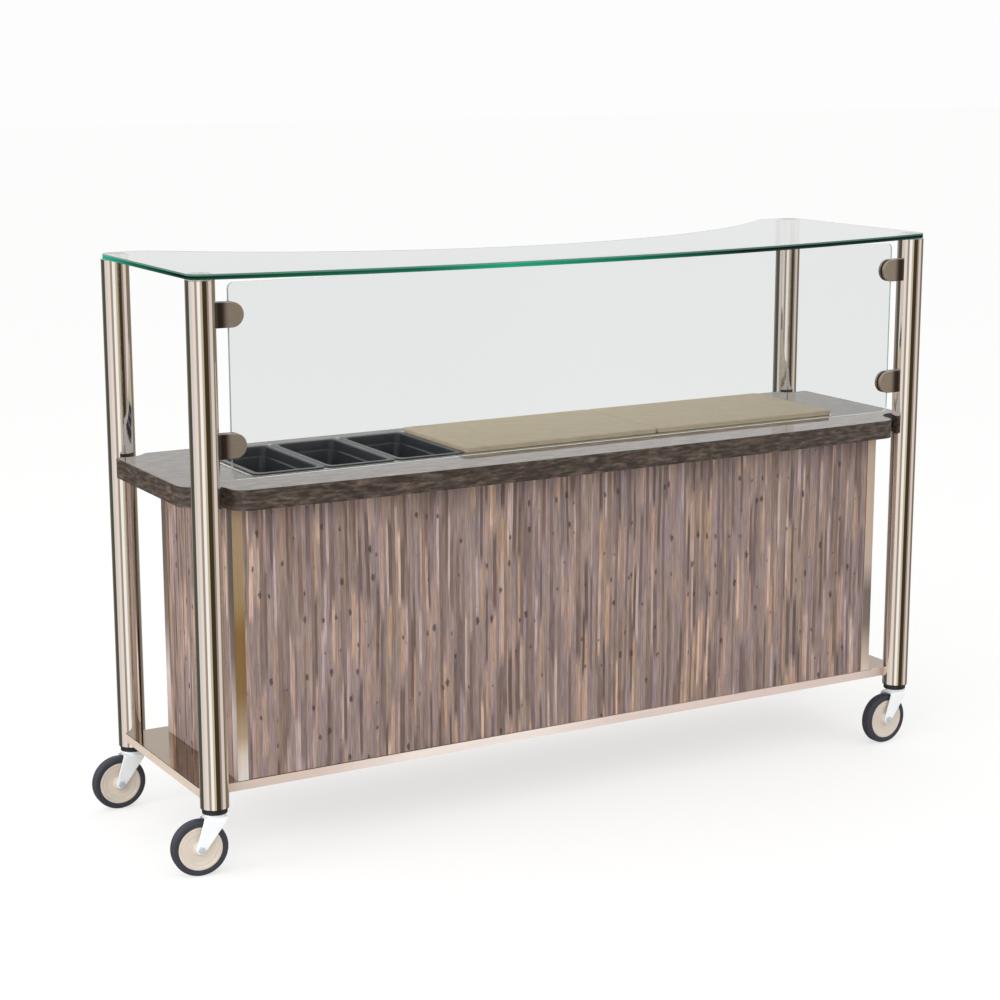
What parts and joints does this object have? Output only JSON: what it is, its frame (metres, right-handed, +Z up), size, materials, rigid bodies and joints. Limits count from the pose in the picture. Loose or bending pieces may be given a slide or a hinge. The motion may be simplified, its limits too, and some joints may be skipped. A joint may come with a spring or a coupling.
{
  "type": "cooking cart",
  "caption": "Mobile cooking and serving cart: a kidney-shaped glass shelf and a clear guard pane on round posts over a counter with a pan well, a reed-clad cabinet and swivel casters.",
  "frame": {"origin": "centre of the bounding box on the floor, casters included", "axes": "+X to the right along the length as the guest sees it, -Y towards the guests, +Z up"},
  "size_m": [2.1004, 0.6798, 1.3183],
  "materials": {
    "polished_post": "polished",
    "steel_fitting": "satin",
    "clear_bond": "clear silicone",
    "shelf_glass": "polished, green edge",
    "pane_clear": "polished",
    "clamp_metal": "satin",
    "black_rubber": "matt",
    "bolt_zinc": "zinc plated",
    "counter_laminate": "gloss laminate on board",
    "edge_wood": "dark grained edge",
    "black_plastic": "satin",
    "well_steel": "brushed",
    "pan_polycarbonate": "gloss",
    "board_tan": "matt",
    "reed_laminate": "reed pattern laminate",
    "trim_steel": "brushed",
    "inner_board": "satin board",
    "batten_wood": "plain timber",
    "rail_steel": "brushed",
    "deck_steel": "polished",
    "fork_zinc": "zinc plated",
    "wheel_centre": "satin",
    "tyre_rubber": "matt"
  },
  "bodies": {
    "cart": {"post_front_left": "polished_post", "post_front_right": "polished_post", "post_back_left": "polished_post", "post_back_right": "polished_post", "post_caps": "steel_fitting", "bonding_pads": "clear_bond", "glass_shelf": "shelf_glass", "guard_pane": "pane_clear", "clamp_upper_left": "clamp_metal", "clamp_lower_left": "clamp_metal", "clamp_upper_right": "clamp_metal", "clamp_lower_right": "clamp_metal", "clamp_covers": "clamp_metal", "clamp_gaskets": "black_rubber", "clamp_screws": "bolt_zinc", "clamp_bolts": "bolt_zinc", "countertop": "counter_laminate", "counter_edge_band": "edge_wood", "counter_spacers": "black_plastic", "counter_bolts": "bolt_zinc", "pan_well": "well_steel", "well_dividers": "well_steel", "front_panel": "reed_laminate", "left_panel": "reed_laminate", "right_panel": "reed_laminate", "trim_front_left": "trim_steel", "trim_front_right": "trim_steel", "trim_back_left": "trim_steel", "trim_back_right": "trim_steel", "inner_shelf": "inner_board", "shelf_battens": "batten_wood", "shelf_support": "inner_board", "back_apron": "inner_board", "rail_front": "rail_steel", "rail_back": "rail_steel", "rail_left": "rail_steel", "rail_right": "rail_steel", "deck": "deck_steel", "caster_collars": "black_plastic"},
    "caster_front_left": {"fork_front_left": "fork_zinc", "axle_front_left": "bolt_zinc"},
    "wheel_front_left": {"hub_front_left": "wheel_centre", "tyre_front_left": "tyre_rubber"},
    "caster_front_right": {"fork_front_right": "fork_zinc", "axle_front_right": "bolt_zinc"},
    "wheel_front_right": {"hub_front_right": "wheel_centre", "tyre_front_right": "tyre_rubber"},
    "caster_back_left": {"fork_back_left": "fork_zinc", "axle_back_left": "bolt_zinc"},
    "wheel_back_left": {"hub_back_left": "wheel_centre", "tyre_back_left": "tyre_rubber"},
    "caster_back_right": {"fork_back_right": "fork_zinc", "axle_back_right": "bolt_zinc"},
    "wheel_back_right": {"hub_back_right": "wheel_centre", "tyre_back_right": "tyre_rubber"},
    "lift_pan_left": {"pan_left": "pan_polycarbonate"},
    "lift_pan_middle": {"pan_middle": "pan_polycarbonate"},
    "lift_pan_right": {"pan_right": "pan_polycarbonate"},
    "lift_cutting_board_middle": {"cutting_board_middle": "board_tan"},
    "lift_cutting_board_right": {"cutting_board_right": "board_tan"}
  },
  "joints": [
    {"name": "caster_front_left_swivel", "type": "hinge", "parent": "cart", "child": "caster_front_left", "pos_m": [-0.94928, -0.20623, 0.134], "axis": [0, 0, 1], "continuous": true},
    {"name": "wheel_front_left_spin", "type": "hinge", "parent": "caster_front_left", "child": "wheel_front_left", "pos_m": [-0.98592, -0.20108, 0.0635], "axis": [-0.1392, -0.9903, 0], "continuous": true},
    {"name": "caster_front_right_swivel", "type": "hinge", "parent": "cart", "child": "caster_front_right", "pos_m": [0.95072, -0.20623, 0.134], "axis": [0, 0, 1], "continuous": true},
    {"name": "wheel_front_right_spin", "type": "hinge", "parent": "caster_front_right", "child": "wheel_front_right", "pos_m": [0.91381, -0.20881, 0.0635], "axis": [0.0698, -0.9976, 0], "continuous": true},
    {"name": "caster_back_left_swivel", "type": "hinge", "parent": "cart", "child": "caster_back_left", "pos_m": [-0.94928, 0.29977, 0.134], "axis": [0, 0, 1], "continuous": true},
    {"name": "wheel_back_left_spin", "type": "hinge", "parent": "caster_back_left", "child": "wheel_back_left", "pos_m": [-0.98626, 0.30106, 0.0635], "axis": [-0.0349, -0.9994, 0], "continuous": true},
    {"name": "caster_back_right_swivel", "type": "hinge", "parent": "cart", "child": "caster_back_right", "pos_m": [0.95072, 0.29977, 0.134], "axis": [0, 0, 1], "continuous": true},
    {"name": "wheel_back_right_spin", "type": "hinge", "parent": "caster_back_right", "child": "wheel_back_right", "pos_m": [0.98628, 0.30997, 0.0635], "axis": [-0.2756, 0.9613, 0], "continuous": true},
    {"name": "pan_left_lift", "type": "slide", "parent": "cart", "child": "lift_pan_left", "axis": [0, 0, 1], "range_m": [0, 0.16]},
    {"name": "pan_middle_lift", "type": "slide", "parent": "cart", "child": "lift_pan_middle", "axis": [0, 0, 1], "range_m": [0, 0.16]},
    {"name": "pan_right_lift", "type": "slide", "parent": "cart", "child": "lift_pan_right", "axis": [0, 0, 1], "range_m": [0, 0.16]},
    {"name": "cutting_board_middle_lift", "type": "slide", "parent": "cart", "child": "lift_cutting_board_middle", "axis": [0, 0, 1], "range_m": [0, 0.16]},
    {"name": "cutting_board_right_lift", "type": "slide", "parent": "cart", "child": "lift_cutting_board_right", "axis": [0, 0, 1], "range_m": [0, 0.16]}
  ]
}
